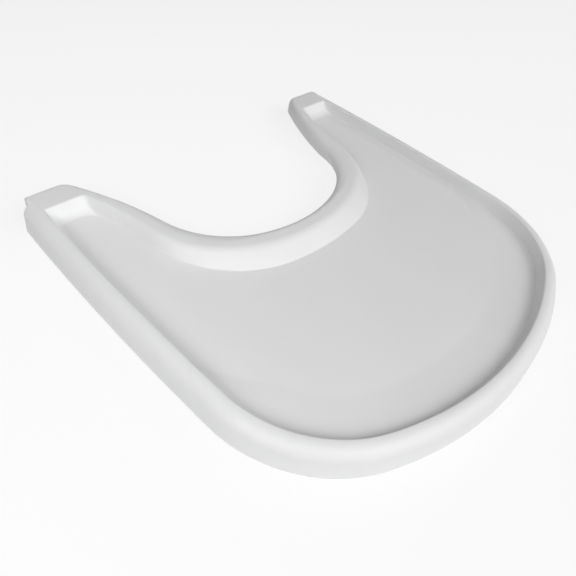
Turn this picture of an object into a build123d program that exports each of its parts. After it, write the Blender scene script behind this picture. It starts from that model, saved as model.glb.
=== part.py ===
"""High chair tray: a white moulded tray shell with a body bay, and the rail latch that it carries underneath.

Frame: +Z up, +X to the tray's right seen from its front edge, -Y towards the front edge, +Y along the arms.
Origin: centre of the footprint, on the plane of the skirt's lower edge. Units: millimetres.
"""
from build123d import *
import math
import os

# Overall size and rim
tray_width = 407.5
tray_length = 411.5
crest_z = 28.0  # top of the rim above the skirt's lower edge
wall = 3.0  # moulding thickness
roll_radius = 11.0  # outer roll of the rim
crest_flat = 2.5  # width of the rim's top, between roll and well
skirt_draft = 1.5  # how far the skirt leans out at its lower edge

# Plan of the outer edge, all on the rim's crest line
widest_y = 62.0  # where the sides are widest
side_radius = 2970.0  # gentle bow of the sides
corner_radius = 113.0  # front corners
front_radius = 293.0  # front edge

# Body bay between the arms: the wall line, and the line where its ramp meets the floor.
# Each has a centre arc, a corner arc and a flare arc; turns are in degrees. side is how far the corner arc
# starts from the rim's widest crest line, so the arms keep their width when the tray's width changes.
bay_wall = dict(y=32.7, side=140.513522, centre_turn=20.7, corner=93.0, corner_turn=54.2, flare=405.0)
bay_foot = dict(y=-1.4, side=145.719715, centre_turn=10.0, corner=107.4, corner_turn=70.9, flare=635.0)
ramp_share = 0.46  # ramp's upper edge, as a share of the way from foot to wall
bay_roll = 5.0  # roll of the lip over the bay
lip_z = 22.0  # lower edge of the lip around the bay's front
arm_lip_z = 16.5  # lower edge of the lip along the arms
lip_step_y = 86.0  # where the lower edge steps down
tongue_z = 14.5  # lower edge of the arm's end
tongue_inset = 11.75  # outer side of the arm's end, in from the tray's side
skirt_end_gap = 11.25  # where the skirt stops, before the arm's end
tip_corner = 14.0  # round corner of the arm's end, on the bay side

# Well
well_depth = 12.0
wall_run = 5.0  # plan width of the well's outer wall
cove = 15.0  # wide gentle rise from floor to wall
cove_power = 12  # how soon that rise ends at the wall's foot
well_end_gap = 27.25  # upper edge of the well's end, before the arm's end
end_run = 8.0  # plan length of the well's end slope
end_cove = 5.0

# Flat cuts between the moulding's named regions
arm_cut_in = 40.0  # bay lip to arm floor, in from the crest line
rim_cut_in = 23.0  # floor to side rim, in from the crest line
front_cut_in = 82.0  # front rim to floor, back from the crest line
lip_cut_gap = 4.6  # floor to bay lip, before the ramp's foot
end_cut_gap = 15.5  # arm's end, before the well's end

# Stiffening ribs under the floor
rib_thick = 2.0
rib_depth = 4.0
rib_x = (40.0, 100.0)
rib_back_y = -78.0
rib_front_y = -150.0
cross_rib_y = -112.0
cross_rib_in = 60.0  # ends of the cross rib, in from the crest line

# Chair rail that the latch holds
rail_diameter = 15.0
rail_gap = 1.0  # between rail and lip
pad_thick = 1.0
pad_half_width = 3.0
pad_end_in = 102.0  # ends of the rail's pad, in from the crest line

# Latch: bolts that slide at an angle under the rail, drawn back together by the yoke
bolt_angle = 30.0  # from the fore and aft line
bolt_travel = 14.0
bolt_length = 46.0
bolt_width = 12.0
bolt_thick = 4.8
bolt_lead = 3.4  # sloping underside of the nose
nose_reach = 5.0  # nose past the rail's centre line
base_z = 1.5  # lower face of the latch base
base_thick = 2.0
base_margin = 6.440530  # side of the base, past the springs' stops
base_front_margin = 0.746672  # front of the base, past the springs' stops
base_back_y = 38.0
base_corner = 10.0
base_rim = 1.8  # thickness of the wall round the base
rim_gap = 0.5  # between that wall and the floor above
rail_clear = 1.8  # between the rail and the latch at rest
slide_gap = 0.3
guide_thick = 2.5
guide_length = 34.0
yoke_thick = 2.5
yoke_gap = 0.6  # between bolts and yoke
yoke_bar = 14.0  # depth of the cross bar
yoke_end = 14.0  # cross bar past the drive pin
stem_width = 44.0
tab_gap = 28.0  # front face of the pull tab, before the base
tab_thick = 5.0
tab_width = 64.0
tab_z = 2.0  # lower edge of the pull tab
grip_thick = 2.0
grip_width = 52.0
grip_height = 6.0
pin_diameter = 4.0
pin_back = 41.0  # drive pin behind the bolt's nose
pin_gap = 0.1
press_gap = 0.02

# Springs, rods and screws
spring_wire = 0.7
spring_mean = 3.7
spring_turns = 8
spring_space = 26.0  # between the bolt's tail and its stop
stop_thick = 4.0
rod_diameter = 2.0
rod_gap = 1.0  # between the rod's end and the bolt drawn fully back
back_screw = (84.0, 12.0)  # in from the crest line, and from the base's back edge
front_screws = ((140.0, 9.0), (108.0, 8.0))  # in from the crest line, and from the base's front edge
boss_diameter = 8.0
screw_core = 2.5
screw_head = 5.6
screw_head_thick = 1.2
screw_length = 9.0
screw_gap = 0.05

# Pads under the arms
arm_pad_in = 24.0  # in from the crest line
arm_pad_gap = 67.75  # before the arm's end
arm_pad_turn = -6.0
arm_pad_size = (16.0, 46.0, 3.0)

# Soft blocks in the hollow ends of the arms
tip_pad_in = 17.0
tip_pad_gap = 12.75
tip_pad_size = (24.0, 9.0, 7.0)

rim_overhang = crest_flat / 2 + roll_radius + skirt_draft
crest_half_width = tray_width / 2 - rim_overhang
front_crest_y = rim_overhang - tray_length / 2
tip_y = tray_length / 2
tongue_side_x = tray_width / 2 - tongue_inset
skirt_end_y = tip_y - skirt_end_gap
well_end_y = tip_y - well_end_gap
for line in (bay_wall, bay_foot):  # the centre arc reaches to the start of the corner arc
    line["centre"] = (crest_half_width - line["side"]) / math.sin(math.radians(line["centre_turn"]))
arm_cut_x = crest_half_width - arm_cut_in
rim_cut_x = crest_half_width - rim_cut_in
front_cut_y = front_crest_y + front_cut_in
lip_cut_y = bay_foot["y"] - lip_cut_gap
end_cut_y = well_end_y - end_cut_gap
cross_rib_half = crest_half_width - cross_rib_in
pad_half_span = crest_half_width - pad_end_in
arm_pad_x = crest_half_width - arm_pad_in
arm_pad_y = tip_y - arm_pad_gap
tip_pad_x = crest_half_width - tip_pad_in
tip_pad_y = tip_y - tip_pad_gap
well_z = crest_z - well_depth
under_z = well_z - wall
roof_z = crest_z - wall
spring_line_z = crest_z - roll_radius


def on_circle(centre, radius, angle):
    """Point on a circle, with the angle in degrees from +X."""
    a = math.radians(angle)
    return (centre[0] + radius * math.cos(a), centre[1] + radius * math.sin(a))


def angle_of(centre, point):
    return math.degrees(math.atan2(point[1] - centre[1], point[0] - centre[0]))


def arc(centre, radius, start, end):
    """Arc from one angle to another, in degrees."""
    middle = on_circle(centre, radius, (start + end) / 2)
    return ThreePointArc(on_circle(centre, radius, start), middle, on_circle(centre, radius, end)).edges()[0]


def meet(c1, r1, c2, r2):
    """The meeting point of two circles that lies further along +X."""
    dx, dy = c2[0] - c1[0], c2[1] - c1[1]
    d = math.hypot(dx, dy)
    along = (r1 * r1 - r2 * r2 + d * d) / (2 * d)
    across = math.sqrt(r1 * r1 - along * along)
    mid = (c1[0] + along * dx / d, c1[1] + along * dy / d)
    points = [(mid[0] + s * across * dy / d, mid[1] - s * across * dx / d) for s in (1, -1)]
    return max(points)


side_centre = (crest_half_width - side_radius, widest_y)
front_centre = (0.0, front_crest_y + front_radius)
corner_centre = meet(side_centre, side_radius - corner_radius, front_centre, front_radius - corner_radius)
side_turn = angle_of(side_centre, corner_centre)
front_turn = angle_of(front_centre, corner_centre)


def flipped(shape):
    return mirror(shape, Plane.YZ)


def flipped_edge(edge):
    return flipped(edge).edges()[0]


def outer_edges(offset, end_y):
    """Right side, front and left side of the crest line, moved outwards by offset and ending at end_y."""
    start = math.degrees(math.asin((end_y - side_centre[1]) / (side_radius + offset)))
    side = arc(side_centre, side_radius + offset, start, side_turn)
    corner = arc(corner_centre, corner_radius + offset, side_turn, front_turn)
    front = arc(front_centre, front_radius + offset, front_turn, -180 - front_turn)
    return [side, corner, front, flipped_edge(corner), flipped_edge(side)]


def bay_edges(line, inset, end_y):
    """Bay line from the left arm to the right arm, moved into the moulding by inset and ending at end_y."""
    first = line["centre_turn"]
    second = first + line["corner_turn"]
    r1, r2, r3 = line["centre"] + inset, line["corner"] + inset, line["flare"] - inset
    c1 = (0.0, line["y"] + line["centre"])
    e1 = on_circle(c1, r1, first - 90)
    c2 = on_circle(e1, r2, first + 90)
    e2 = on_circle(c2, r2, second - 90)
    c3 = on_circle(e2, r3, second - 90)
    last = 180 - math.degrees(math.asin((end_y - c3[1]) / r3))
    corner = arc(c2, r2, first - 90, second - 90)
    flare = arc(c3, r3, second + 90, last)
    centre = arc(c1, r1, -90 - first, first - 90)
    return [flipped_edge(flare), flipped_edge(corner), centre, corner, flare]


def bay_corner_centre():
    """Centre of the wall line's right corner arc."""
    c1 = (0.0, bay_wall["y"] + bay_wall["centre"])
    e1 = on_circle(c1, bay_wall["centre"], bay_wall["centre_turn"] - 90)
    return on_circle(e1, bay_wall["corner"], bay_wall["centre_turn"] + 90)


def between(a, b, share):
    return {k: a[k] + share * (b[k] - a[k]) for k in a}


def back_end(edge):
    return max((edge @ 0, edge @ 1), key=lambda p: p.Y)


def loop(outer, bay, z):
    """Closed wire at height z from the outer edge and the bay line, joined across the arms' ends."""
    right = Edge.make_line(back_end(bay[4]), back_end(outer[0]))
    left = Edge.make_line(back_end(outer[4]), back_end(bay[0]))
    return Wire(outer + [left] + bay + [right]).moved(Location((0, 0, z)))


def bay_region(inset, end_y, low_z, high_z):
    """Upright block that fills the bay up to its wall line moved by inset."""
    edges = bay_edges(bay_wall, inset, end_y)
    closing = Edge.make_line(back_end(edges[4]), back_end(edges[0]))
    return Pos(0, 0, low_z) * extrude(make_face(edges + [closing]), high_z - low_z)


def quarter(radius, height):
    """How far a quarter roll has come in from its upright tangent at a height above its spring line."""
    return radius - math.sqrt(max(radius * radius - height * height, 0.0))


def block_loop(z, skin):
    """Outline of the tray's outside at height z, moved inwards by skin."""
    rise = max(z - spring_line_z, 0.0)
    lean = skirt_draft * max(1 - z / spring_line_z, 0.0)
    outer = crest_flat / 2 + roll_radius + lean - skin - quarter(roll_radius - skin, rise)
    bay_rise = max(z - (crest_z - bay_roll), 0.0)
    inset = skin + quarter(bay_roll - skin, bay_rise)
    face = Face(loop(outer_edges(outer, tip_y - skin), bay_edges(bay_wall, inset, tip_y - skin), z))
    ends = [v for v in face.vertices() if v.Y > tip_y - skin - 0.1]
    corners = [v for v in ends if abs(v.X) < tongue_side_x - tip_corner]
    return face.fillet_2d(tip_corner - skin, corners).outer_wire()


def block(skin, low_z):
    """Solid with the tray's outside shape, skin inside it all round."""
    top = crest_z - skin
    turns = [math.sin(math.radians(a)) for a in (18, 36, 54, 72, 90)]
    levels = [low_z, spring_line_z]
    levels += [spring_line_z + (roll_radius - skin) * t for t in turns]
    return Solid.make_loft([block_loop(z, skin) for z in levels], True)


def well_loop(h, skin):
    """Outline of the well at the relative height h (0 floor, 1 rim), grown outwards and down by skin."""
    low = max(1 - h, 0.0) ** cove_power
    outer = skin - crest_flat / 2 - wall_run * (1 - h) - cove * low
    end_y = well_end_y + skin - end_run * (1 - h) - end_cove * low
    ramp = between(bay_foot, bay_wall, ramp_share * h)
    z = well_z + h * well_depth - skin
    return loop(outer_edges(outer, end_y), bay_edges(ramp, -skin, end_y), z)


def well(skin):
    """Solid that fills the well and runs on above the rim."""
    heights = (0, 0.02, 0.05, 0.1, 0.18, 0.36, 0.64, 1.0, 1.15)
    return Solid.make_loft([well_loop(h, skin) for h in heights], True)


def box(x0, x1, y0, y1, z0, z1):
    return Pos((x0 + x1) / 2, (y0 + y1) / 2, (z0 + z1) / 2) * Box(x1 - x0, y1 - y0, z1 - z0)


def both(shape):
    return [shape, flipped(shape)]


def cylinder(x, y, z0, z1, diameter):
    return Pos(x, y, (z0 + z1) / 2) * Cylinder(diameter / 2, z1 - z0)


base_top = base_z + base_thick
bolt_low = base_top + slide_gap
bolt_high = bolt_low + bolt_thick
bolt_mid = (bolt_low + bolt_high) / 2
yoke_low = bolt_high + yoke_gap
yoke_high = yoke_low + yoke_thick
rail_inset = wall + rail_gap + rail_diameter / 2
rail_zone = rail_inset + rail_diameter / 2 + rail_clear

# Right bolt's own frame: its nose at the origin, +X back along the bolt, on the bolt's middle height
nose = on_circle(bay_corner_centre(), bay_wall["corner"] + rail_inset - nose_reach, bolt_angle - 90)
bolt_frame = Pos(nose[0], nose[1], bolt_mid) * Rot(0, 0, bolt_angle - 90)
pin_place = on_circle(nose, pin_back, bolt_angle - 90)
stop_at = bolt_length + spring_space
stop_end = on_circle(nose, stop_at + stop_thick, bolt_angle - 90)
stop_corner = on_circle(stop_end, bolt_width / 2, bolt_angle)
base_half_width = stop_corner[0] + base_margin
base_front_y = on_circle(stop_end, bolt_width / 2, bolt_angle + 180)[1] - base_front_margin
tab_y = base_front_y - tab_gap
screw_places = [(crest_half_width - back_screw[0], base_back_y - back_screw[1])]
screw_places += [(crest_half_width - across, base_front_y + back) for across, back in front_screws]


def make_shell():
    far = 300.0
    hollow = block(wall, -1.0) - well(wall)
    for end in both(box(tongue_side_x - wall, far, skirt_end_y - wall, far, -5, crest_z)):
        hollow -= end
    shell = block(0.0, 0.0) - well(0.0) - hollow
    shell -= bay_region(wall + 0.05, tip_y + 5, -1, arm_lip_z)
    front_part = bay_region(wall + 0.05, tip_y + 5, -1, lip_z) & box(-far, far, -far, lip_step_y, -2, crest_z)
    shell -= front_part
    shell -= box(-far, far, skirt_end_y, far, -1, tongue_z)
    for end in both(box(tongue_side_x, far, skirt_end_y, far, -1, crest_z + 1)):
        shell -= end
    for x, y in screw_places:
        for boss in both(cylinder(x, y, base_top, under_z + 0.5, boss_diameter)):
            shell += boss
        for hole in both(cylinder(x, y, base_top - 1, base_top + screw_length, screw_core + 2 * screw_gap)):
            shell -= hole
    low, high = under_z - rib_depth, under_z + 0.5
    for x in rib_x:
        for rib in both(box(x - rib_thick / 2, x + rib_thick / 2, rib_front_y, rib_back_y, low, high)):
            shell += rib
    near, back = cross_rib_y - rib_thick / 2, cross_rib_y + rib_thick / 2
    shell += box(-cross_rib_half, cross_rib_half, near, back, low, high)
    return shell


def named_regions(shell):
    """The one moulding as named regions that meet face to face on flat cuts."""
    far = 300.0
    ends = shell & box(-far, far, end_cut_y, far, -far, far)
    front = shell & box(-far, far, -far, front_cut_y, -far, far)
    middle = shell & box(-far, far, front_cut_y, end_cut_y, -far, far)
    rim_right = middle & box(rim_cut_x, far, -far, far, -far, far)
    lip = middle & box(-arm_cut_x, arm_cut_x, lip_cut_y, far, -far, far)
    floor = middle & box(-rim_cut_x, rim_cut_x, -far, far, -far, far)
    floor -= box(-arm_cut_x, arm_cut_x, lip_cut_y, far, -far, far)
    end_right = ends & box(0, far, -far, far, -far, far)
    return {
        "well_floor": floor,
        "front_rim": front,
        "bay_lip": lip,
        "right_rim": rim_right,
        "left_rim": flipped(rim_right),
        "right_arm_end": end_right,
        "left_arm_end": flipped(end_right),
    }


def make_base():
    """Screwed cover that carries the guides for bolts and yoke."""
    middle_y = (base_back_y + base_front_y) / 2
    plan = RectangleRounded(2 * base_half_width, base_back_y - base_front_y, base_corner)
    inside = offset(plan, -base_rim)
    plate = Pos(0, middle_y, base_z) * extrude(plan, under_z - rim_gap - base_z)
    plate -= Pos(0, middle_y, base_top) * extrude(inside, crest_z)
    edge = stem_width / 2 + slide_gap
    plate -= box(-edge, edge, base_front_y - 1, base_front_y + 5, yoke_low - slide_gap, crest_z)
    plate -= bay_region(rail_zone, tip_y + 5, -1, crest_z)
    guide_high = bolt_high - slide_gap
    rise = guide_high - base_top
    back = bolt_length - guide_length / 2 + 6
    parts = []
    for side in (1, -1):
        across = side * (bolt_width / 2 + slide_gap + guide_thick / 2)
        guide = Box(guide_length, guide_thick, rise)
        parts.append(bolt_frame * Pos(back, across, (base_top + guide_high) / 2 - bolt_mid) * guide)
    stop_x = stop_at + stop_thick / 2
    stop = Pos(stop_x, 0, (base_top + guide_high) / 2 - bolt_mid) * Box(stop_thick, bolt_width, rise)
    bore = Pos(stop_x, 0, 0) * Rot(0, 90, 0) * Cylinder(rod_diameter / 2 + press_gap, 4 * stop_thick)
    parts.append(bolt_frame * (stop - bore))
    stem_guide = box(edge, edge + guide_thick, base_front_y, base_front_y + 14, base_top, yoke_high)
    ledge = box(edge - 4, edge, base_front_y, base_front_y + 14, base_top, yoke_low - slide_gap)
    parts += [stem_guide, ledge]
    for part in parts:
        for piece in both(part):
            plate += piece
    for x, y in screw_places:
        for hole in both(cylinder(x, y, 0, base_top + 1, screw_core + 2 * screw_gap + 0.6)):
            plate -= hole
    return plate


def make_screws():
    """The six self-tapping screws of the base."""
    screws = []
    for x, y in screw_places:
        head = cylinder(x, y, base_z - screw_head_thick, base_z, screw_head)
        head = fillet(head.edges().sort_by(Axis.Z)[0], 0.5)
        drive = box(x - 1.6, x + 1.6, y - 0.35, y + 0.35, 0, base_z - screw_head_thick + 0.7)
        cross = box(x - 0.35, x + 0.35, y - 1.6, y + 1.6, 0, base_z - screw_head_thick + 0.7)
        core = cylinder(x, y, base_z, base_top + screw_length - 1, screw_core)
        screws += both(head + core - drive - cross)
    return Compound(children=screws)


def make_bolt():
    """Right bolt: flat slide with a sloping nose and a hole for its drive pin."""
    body = Pos(bolt_length / 2, 0, 0) * Box(bolt_length, bolt_width, bolt_thick)
    upright = [e for e in body.edges().filter_by(Axis.Z) if e.center().X < 1]
    body = fillet(upright, 2.0)
    half = bolt_thick / 2
    corner = (-1, -half - 1)
    wedge = Polyline(corner, (bolt_lead + 1, -half - 1), (-1, bolt_lead + 1 - half), close=True)
    body -= extrude(Plane.XZ * make_face(wedge), bolt_width, both=True)
    body -= Pos(pin_back, 0, 0) * Cylinder(pin_diameter / 2 + press_gap, 2 * bolt_thick)
    return bolt_frame * body


def make_pin():
    low, high = bolt_low + 0.4, yoke_high - 0.2
    pin = cylinder(pin_place[0], pin_place[1], low, high, pin_diameter)
    return chamfer(pin.edges().filter_by(GeomType.CIRCLE), 0.3)


def make_yoke():
    """Pull plate: cross bar with a slot for each drive pin, stem, and the tab that fingers draw."""
    half_bar = pin_place[0] + yoke_end
    bar_y = pin_place[1]
    bar = box(-half_bar, half_bar, bar_y - yoke_bar / 2, bar_y + yoke_bar / 2, yoke_low, yoke_high)
    bar = fillet(bar.edges().filter_by(Axis.Z), 5.0)
    stem = box(-stem_width / 2, stem_width / 2, tab_y, bar_y, yoke_low, yoke_high)
    tab = box(-tab_width / 2, tab_width / 2, tab_y, tab_y + tab_thick, tab_z, yoke_high)
    low_edges = tab.edges().filter_by(Axis.X).sort_by(Axis.Z)[:2]
    tab = fillet(low_edges, 1.2)
    yoke = bar + stem + tab - bay_region(rail_zone, tip_y + 5, -1, crest_z)
    side = bolt_travel * math.sin(math.radians(bolt_angle))
    width = pin_diameter + 2 * pin_gap
    slot = extrude(SlotOverall(side + width + 1.0, width), yoke_high + 5)
    slot = Pos(pin_place[0] + side / 2, bar_y, 0) * slot
    for cut in both(slot):
        yoke -= cut
    return yoke


def make_grip():
    """Soft pad on the tab's finger side."""
    y = tab_y + tab_thick
    mid_z = (tab_z + yoke_low) / 2
    low, high = mid_z - grip_height / 2, mid_z + grip_height / 2
    pad = box(-grip_width / 2, grip_width / 2, y, y + grip_thick, low, high)
    return fillet(pad.edges().filter_by(Axis.Y), 1.5)


def make_spring():
    """Right return spring: one helical tube on the spring rod, between the bolt's tail and its stop."""
    clear = spring_wire / 2 + 0.05
    length = spring_space - 2 * clear
    pitch = length / spring_turns
    path = Helix(pitch, length, spring_mean / 2)
    section = Plane(path @ 0, z_dir=path % 0) * Circle(spring_wire / 2)
    coil = sweep(section, path)
    print("spring gap between turns", round(pitch - spring_wire, 3))
    return bolt_frame * Pos(bolt_length + clear, 0, 0) * Rot(0, 90, 0) * coil


def make_rod():
    """Right spring rod, pressed into the stop and holding the spring from inside."""
    start = bolt_length + bolt_travel + rod_gap
    end = stop_at + stop_thick
    rod = Rot(0, 90, 0) * Cylinder(rod_diameter / 2, end - start)
    return bolt_frame * Pos((start + end) / 2, 0, 0) * rod


def make_rail_pad():
    """Soft strip under the lip's roof where the chair's rail presses."""
    outer = bay_region(rail_inset + pad_half_width, tip_y + 5, roof_z - pad_thick, roof_z)
    strip = outer - bay_region(rail_inset - pad_half_width, tip_y + 6, roof_z - pad_thick - 1, roof_z + 1)
    return strip & box(-pad_half_span, pad_half_span, -100, lip_step_y, 0, crest_z)


def make_arm_pad():
    """Right soft pad under the arm's floor."""
    width, length, thick = arm_pad_size
    pad = Box(width, length, thick)
    pad = fillet(pad.edges().filter_by(Axis.Z), 4.0)
    pad = fillet(pad.faces().sort_by(Axis.Z)[0].edges(), 0.8)
    return Pos(arm_pad_x, arm_pad_y, under_z - thick / 2) * Rot(0, 0, arm_pad_turn) * pad


def make_tip_pad():
    """Right soft block under the deck at the arm's end."""
    width, length, thick = tip_pad_size
    pad = Box(width, length, thick)
    pad = fillet(pad.edges().filter_by(Axis.Z), 2.0)
    pad = fillet(pad.faces().sort_by(Axis.Z)[0].edges(), 0.8)
    return Pos(tip_pad_x, tip_pad_y, roof_z - thick / 2) * pad


def main():
    os.makedirs("parts", exist_ok=True)
    shapes = named_regions(make_shell())
    shapes |= {
        "latch_base": make_base(),
        "base_screws": make_screws(),
        "release_yoke": make_yoke(),
        "yoke_grip": make_grip(),
        "rail_pad": make_rail_pad(),
    }
    pairs = {
        "bolt": make_bolt(),
        "drive_pin": make_pin(),
        "bolt_spring": make_spring(),
        "spring_rod": make_rod(),
        "arm_pad": make_arm_pad(),
        "tip_pad": make_tip_pad(),
    }
    for name, shape in pairs.items():
        shapes["right_" + name] = shape
        shapes["left_" + name] = flipped(shape)
    for name, shape in shapes.items():
        export_step(shape, "parts/" + name + ".step")
        print(name, len(shape.solids()), round(shape.volume / 1000, 3), "cm3")


main()
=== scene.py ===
"""High chair tray: the looks of a white moulded tray and of the rail latch under it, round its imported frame.

Lengths are in metres and angles in degrees. +Z is up, -Y is the front edge and +Y runs along the arms.
"""
import math
from collections import namedtuple

import bmesh
import bpy
from bpy.props import FloatProperty, FloatVectorProperty, PointerProperty
from mathutils import Matrix, Vector


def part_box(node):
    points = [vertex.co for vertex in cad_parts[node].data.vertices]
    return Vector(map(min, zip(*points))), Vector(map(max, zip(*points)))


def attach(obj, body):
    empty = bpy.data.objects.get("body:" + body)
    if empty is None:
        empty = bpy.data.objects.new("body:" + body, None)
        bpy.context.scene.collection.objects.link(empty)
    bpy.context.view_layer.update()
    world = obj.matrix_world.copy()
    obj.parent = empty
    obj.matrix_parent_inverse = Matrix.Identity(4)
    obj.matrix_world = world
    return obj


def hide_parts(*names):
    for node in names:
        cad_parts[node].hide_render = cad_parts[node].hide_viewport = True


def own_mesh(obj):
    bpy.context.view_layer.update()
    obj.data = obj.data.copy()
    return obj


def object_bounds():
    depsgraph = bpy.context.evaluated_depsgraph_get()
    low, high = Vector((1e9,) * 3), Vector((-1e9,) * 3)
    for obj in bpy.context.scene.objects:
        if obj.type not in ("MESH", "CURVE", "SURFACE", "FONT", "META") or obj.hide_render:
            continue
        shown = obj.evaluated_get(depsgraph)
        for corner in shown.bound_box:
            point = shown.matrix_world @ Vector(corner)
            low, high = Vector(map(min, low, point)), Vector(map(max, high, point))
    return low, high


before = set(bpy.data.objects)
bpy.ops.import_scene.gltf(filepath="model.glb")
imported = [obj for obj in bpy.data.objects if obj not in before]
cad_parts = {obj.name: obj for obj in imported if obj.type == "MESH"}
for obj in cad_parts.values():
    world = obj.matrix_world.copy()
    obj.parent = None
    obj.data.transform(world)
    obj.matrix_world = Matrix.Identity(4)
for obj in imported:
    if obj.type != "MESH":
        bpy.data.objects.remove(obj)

cad_low, cad_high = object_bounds()

bl_info = {
    "name": "High Chair Tray",
    "version": (1, 0, 0),
    "blender": (4, 5, 0),
    "location": "3D View > Sidebar > Tray",
    "description": "Builds a moulded high chair tray and its rail latch round a packed frame",
    "category": "Object",
}

MM = 0.001

# Plan of the rim, on its crest line
CREST_FLAT = 2.5 * MM
SKIRT_DRAFT = 1.5 * MM
WIDEST_Y = 62 * MM
SIDE_RADIUS = 2970 * MM
CORNER_RADIUS = 113 * MM
FRONT_RADIUS = 293 * MM

# Body bay: the wall line, and the line where its ramp meets the floor
BAY_WALL = dict(
    y=32.7 * MM, centre=140 * MM, centre_turn=20.7, corner=93 * MM, corner_turn=54.2, flare=405 * MM)
BAY_FOOT = dict(
    y=-1.4 * MM, centre=255 * MM, centre_turn=10.0, corner=107.4 * MM, corner_turn=70.9, flare=635 * MM)
RAMP_SHARE = 0.5  # where the ramp would meet the rim's top, as a share of the way from foot to wall
RAMP_BEND = 0.12  # the ramp's soft upper bend, to each side of that, as a share of the same way
LIP_Z = 22 * MM
ARM_LIP_Z = 13 * MM
LIP_STEP_Y = 80 * MM
LIP_STEP_RUN = 70 * MM
LIP_RISE = 5 * MM  # height of the lip's roll
LIP_SWELL = 8 * MM  # how much wider that roll is at the bay's corners
LIP_SAG = 4 * MM  # how much taller it is on the arms
LEAST_LIP = 2 * MM
SWELL_START_Y = 28 * MM  # the swell grows from here along the bay
SWELL_GROW = 34 * MM
SWELL_END_Y = 70 * MM  # and fades from here
SWELL_FADE = 85 * MM
RAMP_SWELL = 0.35  # share of the swell at the ramp's top

# Ends of the arms
TONGUE_Z = 14.5 * MM
TONGUE_SIDE_X = 192 * MM
SKIRT_END_Y = 194.5 * MM
TIP_CORNER = 14 * MM
TIP_ROLL = 3 * MM
TIP_SIDE_CORNER = 3.5 * MM
NOTCH_CORNER = 2 * MM

# Well: a steep wall under the rim, and before it a gentle dish round the front that fades out along the sides
WALL_EDGE = -1.6 * MM  # wall's upper edge, from the crest line
SIDE_FOOT = (-3.7 * MM, 0.8 * MM)  # wall's foot along the sides: from the crest line, and above the floor
SIDE_COVE = 1.2 * MM
SIDE_POWER = 2.0  # above 1 the run-up steepens towards the foot, below 1 it flattens
FRONT_FOOT = (-5.6 * MM, 1.3 * MM)  # wall's foot round the front
FRONT_DISH = 34 * MM
FRONT_POWER = 0.7
DISH_BACK_Y = -15 * MM
DISH_FRONT_Y = -105 * MM
WELL_END_Y = 178.5 * MM
END_RUN = 8 * MM
END_COVE = 5 * MM
END_POWER = 8
WELL_BAY_CORNER = (7 * MM, 9 * MM)  # at the top, and how much larger at the floor
WELL_TIP_CORNER = (2.5 * MM, 6 * MM)
WELL_STEPS = (0, 0.012, 0.027, 0.045, 0.065, 0.083, 0.098, 0.108, 0.125, 0.18, 0.28, 0.38, 0.5, 0.63)
UNDER_STEPS = (0.985, 0.9, 0.75, 0.6, 0.45, 0.32, 0.2, 0.12, 0.06, 0.02, 0)
EDGE_LAND = 0.2 * MM  # where the bend over the wall's edge ends, from the crest line
END_LAND = 1.4 * MM
CRISP_PULL = 3.0
SOFT_PULL = 1.0

# Under the floor
RIB_DEPTH = 4 * MM
RIB_HALF = 1 * MM
RIB_ROOT = 0.4 * MM  # how far ribs and bosses reach into the floor
RIB_XS = (-100 * MM, -40 * MM, 40 * MM, 100 * MM)
RIB_YS = (-150 * MM, -78 * MM)
CROSS_RIB_Y = -112 * MM
CROSS_RIB_X = 130 * MM
BOSS_LOW = 3.5 * MM
EJECTOR_PLACES = ((0, -170), (70, -158), (140, -100), (0, -95), (160, 20), (165, 90), (125, -40))  # in mm
EJECTOR_RADIUS = 4 * MM
EJECTOR_DEPTH = 0.1 * MM
EJECTOR_HEIGHT = 0.4 * MM

# Pads: size, corner and place
ARM_PAD = ((16 * MM, 46 * MM, 3 * MM), 4 * MM, (166 * MM, 138 * MM))
ARM_PAD_TURN = 6.0
TIP_PAD = ((24 * MM, 9 * MM, 7 * MM), 2 * MM, (173 * MM, 193 * MM))
STRIP_END_X = 88 * MM

# Latch
BOLT_ANGLE = 30.0
BOLT_LENGTH = 46 * MM
SPRING_SPACE = 26 * MM
SPRING_CLEAR = 0.4 * MM
RAIL_INSET = 11.5 * MM
NOSE_REACH = 5 * MM
BOLT_MID_Z = 6.2 * MM
SCREW_PLACES = ((106 * MM, 26 * MM), (50 * MM, -18 * MM), (82 * MM, -19 * MM))

# Lamps: name, azimuth and elevation in degrees, distance, and the lamp's own size
LAMPS = (
    ("front", 0, 39, 3.6, (2.6, 3.2)),
    ("left", -80, 34, 0.95, (0.5, 0.4)),
    ("right", 45, 35, 3.0, (1.6, 1.2)),
    ("top", -130, 76, 1.0, (0.6, 0.5)),
    ("under", 0, -80, 0.9, (0.9, 0.9)),
)
FLOOR_GLOW = 0.8  # share of the floor's look that is plain white to the camera
AIM_RIGHT = -0.03467  # the camera's shift across and up its picture
AIM_UP = -0.03564
AIM_Y = -0.00625

# One ring of the moulding. outer and front are its offsets from the crest line at the sides and the front,
# end and step the y of tip and notch, share and inset give the bay line, and the last three are round corners.
Ring = namedtuple("Ring", (
    "outer", "front", "end", "share", "inset", "swell", "z_side", "z_end", "z_bay", "sag", "drop", "limit",
    "step", "bay_round", "tip_round", "notch_round"))


def length_of(name, description, default, low=0.0):
    return FloatProperty(name=name, description=description, default=default, min=low, unit="LENGTH")


def angle_of(name, description, degrees):
    return FloatProperty(name=name, description=description, default=math.radians(degrees), subtype="ANGLE")


def power_of(name, description, default):
    return FloatProperty(name=name, description=description, default=default, unit="POWER")


def colour_of(name, description, default):
    return FloatVectorProperty(name=name, description=description, default=default, subtype="COLOR")


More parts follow.
